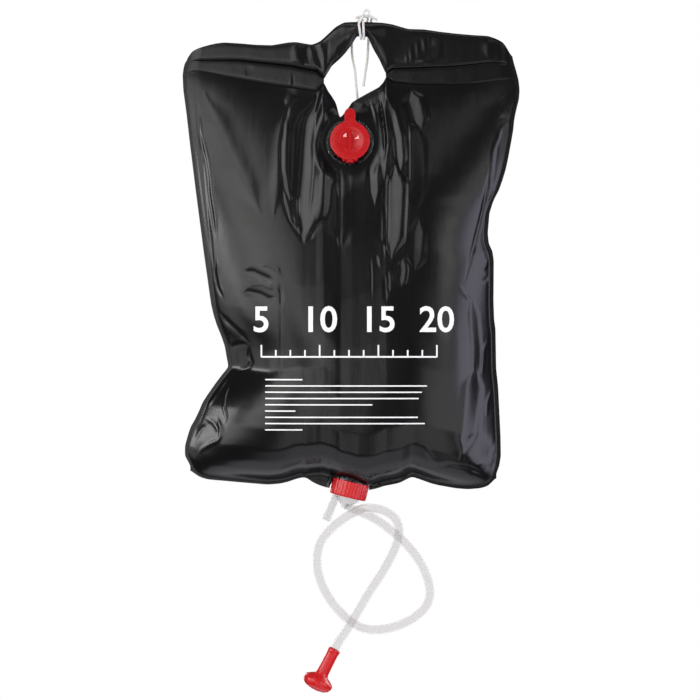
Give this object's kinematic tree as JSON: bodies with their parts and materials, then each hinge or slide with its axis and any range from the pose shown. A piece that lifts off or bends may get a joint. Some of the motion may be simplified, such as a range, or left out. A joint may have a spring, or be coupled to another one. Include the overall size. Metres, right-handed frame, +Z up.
{
  "type": "camp shower bag",
  "caption": "Hanging black film water bag with a push-in filler cap, a screwed bottom outlet, and a looped clear hose that ends in a sliding shower head.",
  "frame": {"origin": "top of the small cord loop that the bag hangs from", "axes": "+Z up, front with the filler towards -Y, +X to the right as seen from the front"},
  "size_m": [0.4037, 0.1008, 0.8211],
  "materials": {
    "black_film": "soft black PVC film with a dull gloss, creases and welded rims",
    "clear_plastic": "clear moulded plastic, slightly milky",
    "clear_hose": "clear soft PVC tube",
    "red_plastic": "moulded red plastic, half gloss",
    "grey_rubber": "smooth dark grey sealing rubber",
    "white_cord": "white laid cord"
  },
  "bodies": {
    "bag": {"front_panel": "black_film", "back_panel": "black_film", "filler_flange": "clear_plastic", "cap_ring": "red_plastic", "outlet_spout": "clear_plastic", "outlet_gasket": "grey_rubber", "hanging_cord_wrap": "white_cord", "hanging_cord_knot": "white_cord", "hanging_cord_loop": "white_cord", "hanging_cord_tail_left": "white_cord", "hanging_cord_tail_right": "white_cord"},
    "cap": {"filler_cap": "red_plastic"},
    "nozzle": {"outlet_nozzle": "clear_plastic", "hose": "clear_hose", "shower_stem": "clear_plastic", "stem_o_ring": "grey_rubber"},
    "collar": {"outlet_collar": "red_plastic"},
    "head": {"shower_head": "red_plastic", "spray_plate": "red_plastic"}
  },
  "joints": [
    {"name": "cap_open", "type": "hinge", "parent": "bag", "child": "cap", "pos_m": [-0.01988, -0.02646, -0.18669], "axis": [1, 0, 0], "range_deg": [0, 115]},
    {"name": "nozzle_slide", "type": "slide", "parent": "bag", "child": "nozzle", "axis": [-0.2419, 0, -0.9703], "range_m": [0, 0.006]},
    {"name": "collar_turn", "type": "hinge", "parent": "nozzle", "child": "collar", "pos_m": [-0.01626, 0, -0.55895], "axis": [-0.2419, 0, -0.9703], "range_deg": [0, 720]},
    {"name": "head_slide", "type": "slide", "parent": "nozzle", "child": "head", "axis": [-0.4591, 0, -0.8884], "range_m": [0, 0.006]}
  ],
  "couplings": [
    {"joint": "collar_turn", "follows": "nozzle_slide", "rad_per_m": 2094.4}
  ]
}
